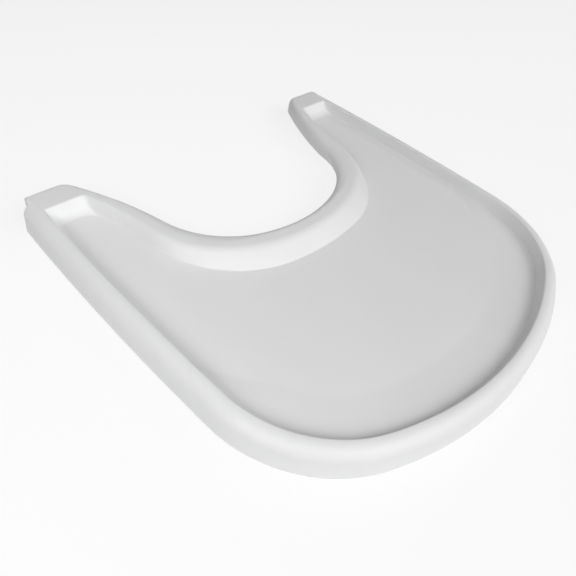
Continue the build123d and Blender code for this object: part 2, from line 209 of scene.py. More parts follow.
class TraySizes(bpy.types.PropertyGroup):
    """Sizes of the moulding and of the pieces under it."""

    width: length_of("Width", "Across the sides at the skirt's lower edge", cad_high.x - cad_low.x, 0.1)
    length: length_of("Length", "From the front edge to the ends of the arms", cad_high.y - cad_low.y, 0.1)
    crest: length_of("Rim Height", "Top of the rim above the skirt's lower edge", cad_high.z, 0.01)
    wall: length_of("Wall", "Thickness of the moulding", 3 * MM, 0.001)
    roll: length_of("Rim Roll", "Radius of the rim's outer roll", 11 * MM, 0.002)
    lip_roll: length_of("Lip Roll", "Plan width of the roll over the bay", 6.5 * MM, 0.002)
    well_depth: length_of("Well Depth", "Floor of the well below the rim", 12 * MM, 0.002)
    edge_round: length_of("Edge Round", "Rounding of the moulding's lower edges", 0.7 * MM)
    spring_wire: length_of("Spring Wire", "Diameter of the bolt springs' wire", 0.7 * MM)
    spring_mean: length_of("Spring Coil", "Mean diameter of the bolt springs", 3.7 * MM)


class TrayColours(bpy.types.PropertyGroup):
    """Colours of the finishes."""

    shell: colour_of("Shell", "White of the moulding", (0.75, 0.75, 0.755))
    base: colour_of("Latch Base", "White of the screwed base", (0.76, 0.76, 0.765))
    slide: colour_of("Slides", "Grey of the yoke and the bolts", (0.36, 0.37, 0.385))
    grip: colour_of("Grip", "Soft grip on the pull", (0.055, 0.056, 0.06))
    pad: colour_of("Pads", "Rubber of the pads", (0.3, 0.3, 0.305))
    steel: colour_of("Steel", "Zinc plated screws, pins and rods", (0.62, 0.63, 0.65))
    wire: colour_of("Wire", "Drawn spring wire", (0.5, 0.5, 0.51))


class TrayStage(bpy.types.PropertyGroup):
    """Camera and light."""

    azimuth: angle_of("Azimuth", "Camera's turn round the tray", -52.084)
    elevation: angle_of("Elevation", "Camera above the horizon", 46.479)
    roll: angle_of("Roll", "Camera's lean", 9.905)
    distance: length_of("Distance", "Camera from the tray", 0.50416)
    lens: FloatProperty(
        name="Lens", description="Focal length in millimetres", default=32.469, unit="CAMERA")
    front: power_of("Front", "Main light from the front", 76.0)
    right: power_of("Right", "Weaker light from the right", 21.0)
    left: power_of("Left", "Near light on the left side", 3.4)
    top: power_of("Top", "High light from above", 1.5)
    under: power_of("Under", "Light on the underside", 4.5)
    ambient: FloatProperty(
        name="Ambient", description="Strength of the surrounding light", default=0.02, min=0.0)
    floor: colour_of("Floor", "Floor colour", (0.86, 0.86, 0.86))


def on_circle(centre, radius, degrees):
    """Point on a circle, with the angle from +X."""
    angle = math.radians(degrees)
    return Vector((centre[0] + radius * math.cos(angle), centre[1] + radius * math.sin(angle)))


def along_arc(centre, radius, start, end, steps):
    """Points on an arc after its start, up to and with its end."""
    return [on_circle(centre, radius, start + (end - start) * i / steps) for i in range(1, steps + 1)]


def along_line(start, end, steps):
    return [start.lerp(end, i / steps) for i in range(1, steps + 1)]


def rounded(before, corner, after, steps):
    """Points of a round corner from one tangent point to the other, after its start."""
    one, two = before - corner, after - corner
    if one.length < 1e-9 or two.length < 1e-9:
        return [corner.copy() for i in range(steps)]
    weight = math.sin(one.angle(two) / 2)
    points = []
    for i in range(1, steps + 1):
        t = i / steps
        a, b, c = (1 - t) ** 2, 2 * t * (1 - t) * weight, t ** 2
        points.append((before * a + corner * b + after * c) / (a + b + c))
    return points


def tangent_length(radius, one, two):
    """How far from a corner its rounding starts, for two directions that leave the corner."""
    return radius / math.tan(one.angle(two) / 2)


def smooth_share(value):
    value = min(max(value, 0.0), 1.0)
    return value * value * (3 - 2 * value)


def ease(start, end, steps):
    """Values that go smoothly from a start, which is left out, to an end."""
    return [start + (end - start) * smooth_share(i / steps) for i in range(1, steps + 1)]


def between(one, two, share):
    return {key: one[key] + share * (two[key] - one[key]) for key in one}


def blend_rings(one, two, share):
    return Ring(*[a + (b - a) * share for a, b in zip(one, two)])


def bend_rings(one, corner, two, t, pull):
    """Ring on a curve from one ring to another, bent at a third; a larger pull makes the bend sharper."""
    weights = ((1 - t) ** 2, 2 * t * (1 - t) * pull, t ** 2)
    total = sum(weights)
    return Ring(*[sum(w * v for w, v in zip(weights, three)) / total for three in zip(one, corner, two)])


class Plan:
    """The tray's outline in plan, from its sizes."""

    def __init__(self, sizes):
        overhang = CREST_FLAT / 2 + sizes.roll + SKIRT_DRAFT
        self.side_centre = Vector((sizes.width / 2 - overhang - SIDE_RADIUS, WIDEST_Y))
        self.front_centre = Vector((0.0, overhang - sizes.length / 2 + FRONT_RADIUS))
        self.corner_centre = self.meeting(SIDE_RADIUS - CORNER_RADIUS, FRONT_RADIUS - CORNER_RADIUS)
        self.side_turn = self.angle_from(self.side_centre)
        self.front_turn = self.angle_from(self.front_centre)

    def meeting(self, side_reach, front_reach):
        """Where the front corner's centre lies, at its reach from both other centres."""
        across = self.front_centre - self.side_centre
        gap = across.length
        along = (side_reach ** 2 - front_reach ** 2 + gap ** 2) / (2 * gap)
        off = math.sqrt(side_reach ** 2 - along ** 2)
        unit = across / gap
        return self.side_centre + unit * along + Vector((unit.y, -unit.x)) * off

    def angle_from(self, centre):
        way = self.corner_centre - centre
        return math.degrees(math.atan2(way.y, way.x))

    def side_point(self, offset, y):
        return on_circle(self.side_centre, SIDE_RADIUS + offset, self.side_angle(offset, y))

    def side_angle(self, offset, y):
        return math.degrees(math.asin((y - self.side_centre.y) / (SIDE_RADIUS + offset)))

    def rim_arcs(self, offset, y):
        """Crest line from the side at y to the front's middle, in arcs: centre, radius, two angles, steps."""
        return (
            (self.side_centre, SIDE_RADIUS, self.side_angle(offset, y), self.side_turn, 34),
            (self.corner_centre, CORNER_RADIUS, self.side_turn, self.front_turn, 32),
            (self.front_centre, FRONT_RADIUS, self.front_turn, -90, 14))


def bay_arcs(share, inset):
    """Centres, radii and turns of the bay line that lies a share of the way from foot to wall."""
    line = between(BAY_FOOT, BAY_WALL, share)
    first = line["centre_turn"]
    second = first + line["corner_turn"]
    radii = (line["centre"] + inset, line["corner"] + inset, line["flare"] - inset)
    centre = Vector((0.0, line["y"] + line["centre"]))
    one = on_circle(centre, radii[0], first - 90)
    corner = on_circle(one, radii[1], first + 90)
    two = on_circle(corner, radii[1], second - 90)
    flare = on_circle(two, radii[2], second - 90)
    return centre, corner, flare, radii, first, second


def corner_share(y):
    """Share of the lip's swell at y: full at the bay's corners, none at its middle and at the arms' ends."""
    grown = smooth_share((y - SWELL_START_Y) / SWELL_GROW)
    return grown * (1 - smooth_share((y - SWELL_END_Y) / SWELL_FADE))


def swell_lip(points, swell):
    """Moves the bay's points away from the bay by the swell that they have there."""
    moved = []
    for i, point in enumerate(points):
        way = points[min(i + 1, len(points) - 1)] - points[max(i - 1, 0)]
        out = Vector((way.y, -way.x)).normalized()
        moved.append(point + out * swell * corner_share(point.y))
    return moved


def half_ring(plan, ring):
    """One ring from the bay's middle round the right arm to the front's middle, as points in space."""
    centre, corner, flare, radii, first, second = bay_arcs(ring.share, ring.inset)
    points = [on_circle(centre, radii[0], -90)]
    points += along_arc(centre, radii[0], -90, first - 90, 10)
    points += along_arc(corner, radii[1], first - 90, second - 90, 24)
    last = 180 - math.degrees(math.asin((ring.end - flare.y) / radii[2]))
    bay_end = on_circle(flare, radii[2], last)
    tip = Vector((min(ring.limit, plan.side_point(ring.outer, ring.end).x), ring.end))
    notch = Vector((min(ring.limit, plan.side_point(ring.outer, ring.step).x), ring.step))
    skirt = Vector((max(notch.x, plan.side_point(ring.outer, ring.step).x), ring.step))
    half = (tip.x - bay_end.x) * 0.48
    down = (notch - tip).normalized()
    back = on_circle((0, 0), 1.0, last + 90)
    reach = min(half, tangent_length(ring.bay_round, back, Vector((1, 0))))
    tip_reach = min(half, tangent_length(ring.tip_round, Vector((-1, 0)), down))
    notch_reach = min(ring.notch_round, (skirt.x - notch.x) * 0.45)
    flare_end = last + math.degrees(reach / radii[2])
    points += along_arc(flare, radii[2], second + 90, flare_end, 26)
    heights = [bay_height(ring, p.y) for p in points]
    points = swell_lip(points, ring.swell)

    bay_side = bay_end + Vector((reach, 0))
    turn = rounded(points[-1], bay_end, bay_side, 9)
    points += turn
    heights += ease(heights[-1], ring.z_end, len(turn))

    flat = along_line(bay_side, tip - Vector((tip_reach, 0)), 7)
    flat += rounded(flat[-1], tip, tip + down * tip_reach, 6)
    flat += along_line(flat[-1], notch - down * notch_reach, 3)
    points += flat
    heights += [ring.z_end] * len(flat)

    turn = rounded(points[-1], notch, notch + Vector((notch_reach, 0)), 5)
    points += turn
    heights += ease(ring.z_end, ring.z_side, len(turn))

    side = along_line(points[-1], skirt - Vector((notch_reach, 0)), 2)
    side_start = plan.side_point(ring.outer, ring.step - notch_reach)
    side += rounded(side[-1], skirt, side_start, 5)
    for centre, radius, first, last, steps in plan.rim_arcs(ring.outer, ring.step - notch_reach):
        for place in along_arc(centre, radius, first, last, steps):
            share = smooth_share((DISH_BACK_Y - place.y) / (DISH_BACK_Y - DISH_FRONT_Y))
            offset = ring.outer + (ring.front - ring.outer) * share
            side.append(place + (place - centre).normalized() * offset)
    points += side
    heights += [ring.z_side] * len(side)
    points[0].x = points[-1].x = 0.0
    return [Vector((p.x, p.y, z)) for p, z in zip(points, heights)]


def bay_height(ring, y):
    """Height of a ring along the bay, whose roll and lower edge go down on the arms."""
    step = smooth_share((y - LIP_STEP_Y) / LIP_STEP_RUN + 0.5)
    return ring.z_bay - (ring.sag + ring.drop * (LIP_Z - ARM_LIP_Z)) * step


def wall_offset(sizes, rise, foot, run, power):
    """Offset of the rim's inner wall from the crest line, at a rise above the floor, or of the run-up to it."""
    place, height = foot
    if rise < height:
        return place - run * (1 - rise / height) ** power
    return place + (WALL_EDGE - place) * (rise - height) / (sizes.well_depth - height)


def well_ring(sizes, h, skin):
    """Ring of the well's wall at the relative height h (0 floor, 1 rim), grown outwards and down by skin."""
    rise = sizes.well_depth * h
    z = sizes.crest - sizes.well_depth + rise - skin
    low = 1 - h
    end = WELL_END_Y + skin - END_RUN * low - END_COVE * low ** END_POWER
    bay_round, tip_round = (top + more * low ** 2 for top, more in (WELL_BAY_CORNER, WELL_TIP_CORNER))
    return Ring(
        outer=skin + wall_offset(sizes, rise, SIDE_FOOT, SIDE_COVE, SIDE_POWER),
        front=skin + wall_offset(sizes, rise, FRONT_FOOT, FRONT_DISH, FRONT_POWER), end=end,
        share=RAMP_SHARE * h, inset=-skin, swell=RAMP_SWELL * LIP_SWELL * h, z_side=z, z_end=z, z_bay=z,
        sag=0.0, drop=0.0, limit=TONGUE_SIDE_X, step=end - (sizes.length / 2 - SKIRT_END_Y),
        bay_round=bay_round, tip_round=tip_round, notch_round=0.0)


def floor_ring(sizes, skin, inset):
    """Ring in the flat floor, a little inside its edge."""
    edge = well_ring(sizes, 0.0, skin)
    return edge._replace(
        outer=edge.outer - inset, front=edge.front - inset, end=edge.end - inset, inset=edge.inset + inset,
        step=edge.step - inset)


def top_rings(sizes):
    """Rings from the well's floor up its walls and over the rim's crest."""
    rings = [floor_ring(sizes, 0.0, 5 * MM), floor_ring(sizes, 0.0, 1.5 * MM)]
    bend_start = 1 - RAMP_BEND / RAMP_SHARE
    rings += [well_ring(sizes, h, 0.0) for h in (*WELL_STEPS, bend_start)]
    start, peak = rings[-1], well_ring(sizes, 1.0, 0.0)
    land = peak._replace(
        outer=EDGE_LAND, front=EDGE_LAND, end=peak.end + END_LAND, share=RAMP_SHARE + RAMP_BEND,
        step=peak.step + END_LAND)
    for i in range(1, 9):
        crisp = bend_rings(start, peak, land, i / 8, CRISP_PULL)
        soft = bend_rings(start, peak, land, i / 8, SOFT_PULL)
        rings.append(crisp._replace(share=soft.share, z_bay=soft.z_bay))
    roll = roll_ring(sizes, 0.0, 0.0)
    rings += [blend_rings(land, roll, t) for t in (0.2, 0.5, 0.8)]
    return rings


def roll_ring(sizes, skin, degrees):
    """Ring on the rolled edge, skin inside it, from its top at 0 to its side at 90."""
    a = math.radians(degrees)
    roll = sizes.roll - skin
    side = sizes.crest - sizes.roll
    tip = max(TIP_ROLL, skin)
    lip = max(sizes.lip_roll - skin, LEAST_LIP)
    rise = LIP_RISE - skin
    outer = CREST_FLAT / 2 + roll * math.sin(a)
    inward = 1 - math.sin(a)
    return Ring(
        outer=outer, front=outer, end=sizes.length / 2 - skin - tip * inward, share=1.0,
        inset=skin + lip * inward, swell=LIP_SWELL * inward, z_side=side + roll * math.cos(a),
        z_end=sizes.crest - skin - tip + tip * math.cos(a), z_bay=sizes.crest - LIP_RISE + rise * math.cos(a),
        sag=LIP_SAG * (1 - math.cos(a)), drop=0.0, limit=TONGUE_SIDE_X - skin, step=SKIRT_END_Y - skin,
        bay_round=TIP_CORNER - skin, tip_round=TIP_SIDE_CORNER - skin,
        notch_round=NOTCH_CORNER - 0.4 * skin)


def skirt_ring(sizes, skin, share, up):
    """Ring on the skirt, skin inside its outer face: share is 1 at the roll, and 0 at the height up."""
    side = sizes.crest - sizes.roll
    z = up + share * (side - up)
    lean = SKIRT_DRAFT * (1 - z / side)
    roof = sizes.crest - max(skin, TIP_ROLL) - skin
    outer = CREST_FLAT / 2 + sizes.roll + lean - skin
    return roll_ring(sizes, skin, 90)._replace(
        outer=outer, front=outer, z_side=z,
        z_end=TONGUE_Z + up + share * (roof - TONGUE_Z - up),
        z_bay=LIP_Z + up + share * (sizes.crest - LIP_RISE - LIP_Z - up), sag=LIP_SAG * share,
        drop=1.0 - share)


def moulding_rings(sizes):
    """All rings of the moulding, from the floor over the rim and back under the floor."""
    rings = top_rings(sizes)
    rings += [roll_ring(sizes, 0.0, a) for a in range(0, 91, 10)]
    r, wall = sizes.edge_round, sizes.wall
    rings += [skirt_ring(sizes, 0.0, share, r) for share in (0.7, 0.4, 0.15, 0.0)]
    for skin, up in ((0.3 * r, 0.3 * r), (r, 0.0), (wall - r, 0.0), (wall - 0.3 * r, 0.3 * r)):
        rings.append(skirt_ring(sizes, skin, 0.0, up))
    rings += [skirt_ring(sizes, wall, share, r) for share in (0.0, 0.15, 0.4, 0.7)]
    rings += [roll_ring(sizes, wall, a) for a in (90, 72, 54, 36, 20, 8)]
    rings += [well_ring(sizes, h, wall) for h in UNDER_STEPS]
    rings.append(floor_ring(sizes, wall, 4 * MM))
    return rings


def skin_rings(bm, rings):
    """Draws the first ring and extrudes it from ring to ring."""
    place = bm.verts.layers.int.new("place")
    chain = [bm.verts.new(point) for point in rings[0]]
    for i, vert in enumerate(chain):
        vert[place] = i
    edges = [bm.edges.new(pair) for pair in zip(chain, chain[1:])]
    for ring in rings[1:]:
        made = bmesh.ops.extrude_edge_only(bm, edges=edges)["geom"]
        verts = {v for v in made if isinstance(v, bmesh.types.BMVert)}
        for vert in verts:
            vert.co = ring[vert[place]]
        edges = [e for e in made if isinstance(e, bmesh.types.BMEdge) and verts.issuperset(e.verts)]


def finish_piece(bm, name, body, material, sharp=40.0, replaced=()):
    """Makes a bmesh a named piece that rides on a body, smooth but for its sharp edges."""
    for face in bm.faces:
        face.smooth = True
    mesh = bpy.data.meshes.new(name)
    bm.to_mesh(mesh)
    bm.free()
    mesh.set_sharp_from_angle(angle=math.radians(sharp))
    piece = bpy.data.objects.new(name, mesh)
    bpy.context.scene.collection.objects.link(piece)
    mesh.materials.append(material)
    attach(piece, body)
    if replaced:
        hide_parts(*replaced)
    return piece


def close_mirror(bm):
    """Mirrors the right half and merges the seam."""
    bmesh.ops.mirror(bm, geom=bm.verts[:] + bm.edges[:] + bm.faces[:], axis="X", merge_dist=5e-6)
    bmesh.ops.remove_doubles(bm, verts=bm.verts[:], dist=3e-6)


def turn_out(bm):
    bmesh.ops.recalc_face_normals(bm, faces=bm.faces[:])


def set_inputs(node, **values):
    for key, value in values.items():
        node.inputs[key.replace("_", " ")].default_value = value
    return node


def add_node(tree, kind, x, y, **values):
    node = tree.nodes.new(kind)
    node.location = (x, y)
    return set_inputs(node, **values)


SURFACE = (("Colour", "NodeSocketColor"), ("Roughness", "NodeSocketFloat"), ("Height", "NodeSocketFloat"))


def new_group(name, inputs, outputs=SURFACE):
    """Empty shader group with a vector, inputs as (name, default), and outputs as (name, socket type)."""
    group = bpy.data.node_groups.new(name, "ShaderNodeTree")
    group.interface.new_socket("Vector", in_out="INPUT", socket_type="NodeSocketVector")
    for label, default in inputs:
        kind = "NodeSocketFloat" if isinstance(default, float) else "NodeSocketColor"
        socket = group.interface.new_socket(label, in_out="INPUT", socket_type=kind)
        socket.default_value = default
    for label, kind in outputs:
        group.interface.new_socket(label, in_out="OUTPUT", socket_type=kind)
    start = add_node(group, "NodeGroupInput", -900, 0)
    end = add_node(group, "NodeGroupOutput", 700, 0)
    return group, start, end


def math_node(tree, operation, x, y, first=None, second=None):
    """Math node; a value given as a number is set, and a socket is linked."""
    node = add_node(tree, "ShaderNodeMath", x, y)
    node.operation = operation
    for i, value in enumerate((first, second)):
        if isinstance(value, (int, float)):
            node.inputs[i].default_value = value
        elif value is not None:
            tree.links.new(value, node.inputs[i])
    return node.outputs[0]


def textured(group, start, kind, y, scale="", **values):
    """Node on the group's vector, with its scale from the named input where there is one."""
    node = add_node(group, kind, -600, y, **values)
    group.links.new(start.outputs["Vector"], node.inputs["Vector"])
    if scale:
        group.links.new(start.outputs[scale], node.inputs["Scale"])
    return node


def stretched(group, start, y, turn, scale, **values):
    """Noise drawn out into lines: on the group's vector, turned about z and scaled along its axes."""
    place = textured(group, start, "ShaderNodeMapping", y)
    place.inputs["Rotation"].default_value = (0.0, 0.0, math.radians(turn))
    place.inputs["Scale"].default_value = scale
    lines = add_node(group, "ShaderNodeTexNoise", -400, y, **values)
    group.links.new(place.outputs[0], lines.inputs["Vector"])
    group.links.new(start.outputs["Scale"], lines.inputs["Scale"])
    return lines.outputs[0]


def shade_colour(group, start, end, amount):
    """Puts out a group's own colour, made darker or lighter by an amount."""
    tint = add_node(group, "ShaderNodeVectorMath", 200, 250)
    tint.operation = "SCALE"
    group.links.new(start.outputs["Colour"], tint.inputs[0])
    group.links.new(amount, tint.inputs["Scale"])
    group.links.new(tint.outputs[0], end.inputs["Colour"])


def spread(group, noise, low, high, y):
    """Spreads the middle of a noise over two values."""
    node = add_node(group, "ShaderNodeMapRange", -200, y, From_Min=0.3, From_Max=0.7, To_Min=low, To_Max=high)
    group.links.new(noise, node.inputs["Value"])
    return node.outputs[0]


def moulded_grain_group():
    """Moulded plastic: fine grain in the height, slow clouds in colour and roughness."""
    group, start, end = new_group(
        "Moulded Grain",
        [("Colour", (0.8, 0.8, 0.8, 1.0)), ("Shade", 0.03), ("Cloud Scale", 14.0), ("Grain Scale", 2400.0),
         ("Rough Low", 0.34), ("Rough High", 0.46)])
    links = group.links
    cloud = textured(group, start, "ShaderNodeTexNoise", 200, "Cloud Scale", Detail=3.0, Roughness=0.55)
    grain = textured(group, start, "ShaderNodeTexNoise", -150, "Grain Scale", Detail=2.0, Roughness=0.6)
    patch = textured(group, start, "ShaderNodeTexNoise", -450, Detail=4.0, Scale=75.0)
    low = math_node(group, "SUBTRACT", -350, 320, 1.0, start.outputs["Shade"])
    high = math_node(group, "ADD", -350, 200, 1.0, start.outputs["Shade"])
    swing = add_node(group, "ShaderNodeMapRange", -150, 250, From_Min=0.3, From_Max=0.7)
    links.new(cloud.outputs[0], swing.inputs["Value"])
    links.new(low, swing.inputs["To Min"])
    links.new(high, swing.inputs["To Max"])
    shade_colour(group, start, end, swing.outputs[0])
    mixed = math_node(group, "MULTIPLY_ADD", -350, -350, grain.outputs[0], 0.35)
    links.new(patch.outputs[0], mixed.node.inputs[2])
    rough = add_node(group, "ShaderNodeMapRange", -100, -350, From_Min=0.45, From_Max=0.9)
    links.new(mixed, rough.inputs["Value"])
    links.new(start.outputs["Rough Low"], rough.inputs["To Min"])
    links.new(start.outputs["Rough High"], rough.inputs["To Max"])
    links.new(rough.outputs[0], end.inputs["Roughness"])
    links.new(grain.outputs[0], end.inputs["Height"])
    return group


def scuff_group():
    """Faint hair lines in two directions, as a mask."""
    group, start, end = new_group(
        "Hair Scuffs", [("Density", 0.012), ("Scale", 120.0)], [("Mask", "NodeSocketFloat")])
    masks = []
    for i, turn in enumerate((22.0, -48.0)):
        lines = stretched(
            group, start, -350 * i, turn, (1.0, 0.045, 1.0), Detail=1.0, Roughness=0.4, Distortion=0.15)
        off = math_node(group, "SUBTRACT", -200, -350 * i, lines, 0.5)
        width = math_node(group, "ABSOLUTE", -50, -350 * i, off)
        masks.append(math_node(group, "LESS_THAN", 100, -350 * i, width, start.outputs["Density"]))
    both = math_node(group, "MAXIMUM", 300, -150, masks[0], masks[1])
    group.links.new(both, end.inputs["Mask"])
    return group


def stipple_group():
    """Rubber skin: a pebbled height, and a little colour in the hollows."""
    group, start, end = new_group("Rubber Stipple", [("Colour", (0.1, 0.1, 0.1, 1.0)), ("Scale", 1500.0)])
    links = group.links
    cells = textured(group, start, "ShaderNodeTexVoronoi", 0, "Scale")
    worn = textured(group, start, "ShaderNodeTexNoise", -350, Scale=160.0, Detail=4.0)
    shade_colour(group, start, end, spread(group, worn.outputs[0], 0.85, 1.18, 100))
    links.new(spread(group, worn.outputs[0], 0.62, 0.84, -250), end.inputs["Roughness"])
    links.new(cells.outputs["Distance"], end.inputs["Height"])
    return group


def plated_group():
    """Plated or drawn steel: fine lines in colour, roughness and height."""
    group, start, end = new_group("Plated Lines", [("Colour", (0.6, 0.6, 0.6, 1.0)), ("Scale", 900.0)])
    links = group.links
    lines = stretched(group, start, 0, 0.0, (1.0, 1.0, 0.15), Detail=3.0, Roughness=0.6)
    shade_colour(group, start, end, spread(group, lines, 0.82, 1.08, 150))
    links.new(spread(group, lines, 0.24, 0.44, -200), end.inputs["Roughness"])
    links.new(lines, end.inputs["Height"])
    return group


EFFECTS = {
    "Moulded Grain": moulded_grain_group,
    "Hair Scuffs": scuff_group,
    "Rubber Stipple": stipple_group,
    "Plated Lines": plated_group,
}


def effect(tree, name, x, y, **values):
    """Places a shared effect in a material, on Object coordinates, with its own values."""
    node = add_node(tree, "ShaderNodeGroup", x, y)
    node.node_tree = bpy.data.node_groups.get(name) or EFFECTS[name]()
    set_inputs(node, **values)
    place = tree.nodes.get("Place") or add_node(tree, "ShaderNodeTexCoord", -900, 0)
    place.name = "Place"
    tree.links.new(place.outputs["Object"], node.inputs["Vector"])
    return node


def finish_material(name, effect_name, colour, bump, metallic=0.0, scuffs=0.0, **values):
    """Material with one surface effect, a bump and, on plastic, faint scuffs that are a little rougher."""
    found = bpy.data.materials.get(name)
    if found:
        return found
    material = bpy.data.materials.new(name)
    material.use_nodes = True
    tree = material.node_tree
    shader = tree.nodes["Principled BSDF"]
    shader.inputs["Metallic"].default_value = metallic
    surface = effect(tree, effect_name, -600, 100, **values)
    surface.inputs["Colour"].default_value = (*colour, 1.0)
    tree.links.new(surface.outputs["Colour"], shader.inputs["Base Color"])
    roughness = surface.outputs["Roughness"]
    if scuffs:
        marks = effect(tree, "Hair Scuffs", -600, -350)
        roughness = math_node(tree, "MULTIPLY_ADD", -300, -200, marks.outputs["Mask"], scuffs)
        tree.links.new(surface.outputs["Roughness"], roughness.node.inputs[2])
    tree.links.new(roughness, shader.inputs["Roughness"])
    relief = add_node(tree, "ShaderNodeBump", -300, -450, Strength=bump[0], Distance=bump[1])
    tree.links.new(surface.outputs["Height"], relief.inputs["Height"])
    tree.links.new(relief.outputs[0], shader.inputs["Normal"])
    return material


# Finishes by the name of their colour: material, effect, bump strength and depth, and the effect's own values
FINISHES = {
    "shell": ("Satin White Moulding", "Moulded Grain", (0.12, 0.00008), dict(
        scuffs=0.08, Shade=0.012, Cloud_Scale=11.0, Grain_Scale=2200.0, Rough_Low=0.46, Rough_High=0.58)),
    "base": ("Spark Textured White", "Moulded Grain", (0.3, 0.00012), dict(
        scuffs=0.05, Shade=0.03, Cloud_Scale=24.0, Grain_Scale=1500.0, Rough_Low=0.5, Rough_High=0.66)),
    "slide": ("Satin Grey Slide", "Moulded Grain", (0.2, 0.0001), dict(
        scuffs=0.12, Shade=0.06, Cloud_Scale=40.0, Grain_Scale=1900.0, Rough_Low=0.36, Rough_High=0.55)),
    "grip": ("Soft Grip Rubber", "Rubber Stipple", (0.35, 0.00012), dict(Scale=1700.0)),
    "pad": ("Pad Rubber", "Rubber Stipple", (0.3, 0.00012), dict(Scale=1300.0)),
    "steel": ("Zinc Plated Steel", "Plated Lines", (0.15, 0.00005), dict(metallic=1.0, Scale=1100.0)),
    "wire": ("Drawn Spring Wire", "Plated Lines", (0.2, 0.00004), dict(metallic=1.0, Scale=2600.0)),
}


def finish_of(context, kind):
    name, effect_name, bump, values = FINISHES[kind]
    return finish_material(name, effect_name, getattr(context.scene.tray_colours, kind), bump, **values)


def box_into(bm, low, high):
    """Adds a box between two corners and returns its vertices."""
    low, high = Vector(low), Vector(high)
    size = high - low
    matrix = Matrix.Translation((low + high) / 2) @ Matrix.Diagonal((*size, 1.0))
    return bmesh.ops.create_cube(bm, size=1.0, matrix=matrix)["verts"]


def round_edges(bm, edges, width, segments=3):
    bmesh.ops.bevel(
        bm, geom=list(edges), offset=width, offset_type="OFFSET", segments=segments, profile=0.5,
        affect="EDGES", material=-1, clamp_overlap=True)


def cut_across(bm, place, normal):
    """Cuts all faces along a plane and keeps both sides."""
    geometry = bm.verts[:] + bm.edges[:] + bm.faces[:]
    bmesh.ops.bisect_plane(bm, geom=geometry, dist=1e-7, plane_co=place, plane_no=normal)


def edges_of(verts):
    return list({edge for vert in verts for edge in vert.link_edges})


def bolt_matrix(side):
    """Frame of a bolt, nose at the origin and +X back along it; side is 1 for the right, -1 for the left."""
    centre, corner, flare, radii, first, second = bay_arcs(1.0, 0.0)
    nose = on_circle(corner, BAY_WALL["corner"] + RAIL_INSET - NOSE_REACH, BOLT_ANGLE - 90)
    turn = math.radians(BOLT_ANGLE - 90)
    way = Vector((side * math.cos(turn), math.sin(turn), 0.0))
    across = Vector((-way.y, way.x, 0.0))
    frame_axes = Matrix((way, across, Vector((0, 0, 1)))).transposed().to_4x4()
    return Matrix.Translation((side * nose.x, nose.y, BOLT_MID_Z)) @ frame_axes


class TRAY_OT_moulding(bpy.types.Operator):
    """Build the white moulding: well, rim, skirt, bay lip and arms"""

    bl_idname = "tray.moulding"
    bl_label = "Moulding"

    def execute(self, context):
        sizes = context.scene.tray_sizes
        plan = Plan(sizes)
        bm = bmesh.new()
        skin_rings(bm, [half_ring(plan, ring) for ring in moulding_rings(sizes)])
        close_mirror(bm)
        middle = sizes.crest - sizes.well_depth - sizes.wall / 2
        open_edges = [edge for edge in bm.edges if edge.is_boundary]
        for above in (True, False):
            rim = [edge for edge in open_edges if (edge.verts[0].co.z > middle) == above]
            bmesh.ops.triangle_fill(bm, use_beauty=True, edges=rim, normal=(0, 0, 1))
        turn_out(bm)
        if any(not edge.is_manifold for edge in bm.edges):
            raise RuntimeError("the moulding isn't closed")
        finish_piece(
            bm, "tray_moulding", "tray", finish_of(context, "shell"), 50.0,
            ("well_floor", "front_rim", "bay_lip", "left_rim", "right_rim", "left_arm_end", "right_arm_end"))
        return {"FINISHED"}


class TRAY_OT_ribs(bpy.types.Operator):
    """Build the ribs, screw bosses and ejector marks under the floor"""

    bl_idname = "tray.ribs"
    bl_label = "Ribs and Bosses"

    def execute(self, context):
        sizes = context.scene.tray_sizes
        under = sizes.crest - sizes.well_depth - sizes.wall
        root = under + RIB_ROOT
        low = under - RIB_DEPTH
        bm = bmesh.new()
        edges = []
        for x in RIB_XS:
            edges += edges_of(box_into(bm, (x - RIB_HALF, RIB_YS[0], low), (x + RIB_HALF, RIB_YS[1], root)))
        ends = ((-CROSS_RIB_X, CROSS_RIB_Y - RIB_HALF, low), (CROSS_RIB_X, CROSS_RIB_Y + RIB_HALF, root))
        edges += edges_of(box_into(bm, *ends))
        round_edges(bm, [e for e in edges if max(v.co.z for v in e.verts) < under], 0.5 * MM)
        for x, y in SCREW_PLACES:
            for side in (1, -1):
                add_boss(bm, Vector((side * x, y, 0.0)), BOSS_LOW, root)
        for x, y in EJECTOR_PLACES:
            for side in (1, -1) if x else (1,):
                mark = Matrix.Translation((side * x * MM, y * MM, under - EJECTOR_DEPTH))
                disc = bmesh.ops.create_circle(
                    bm, cap_ends=True, radius=EJECTOR_RADIUS, segments=28, matrix=mark)["verts"]
                face = disc[0].link_faces[0]
                side_faces = bmesh.ops.extrude_face_region(bm, geom=[face])["geom"]
                top = [v for v in side_faces if isinstance(v, bmesh.types.BMVert)]
                bmesh.ops.translate(bm, verts=top, vec=(0, 0, EJECTOR_HEIGHT))
        turn_out(bm)
        finish_piece(bm, "floor_ribs", "tray", finish_of(context, "shell"))
        return {"FINISHED"}


def add_boss(bm, place, low, high):
    """Screw boss: an open tube with a fillet at its root, spun from its section."""
    section = (
        (1.3, high), (1.3, low), (3.7, low), (4.0, low + 0.3 * MM), (4.0, high - 2.0 * MM),
        (4.5, high - 0.9 * MM), (5.6, high))
    verts = [bm.verts.new(place + Vector((r * MM, 0.0, z))) for r, z in section]
    edges = [bm.edges.new(pair) for pair in zip(verts, verts[1:])]
    bmesh.ops.spin(
        bm, geom=verts + edges, cent=place, axis=(0, 0, 1), angle=math.tau, steps=32, use_merge=True)


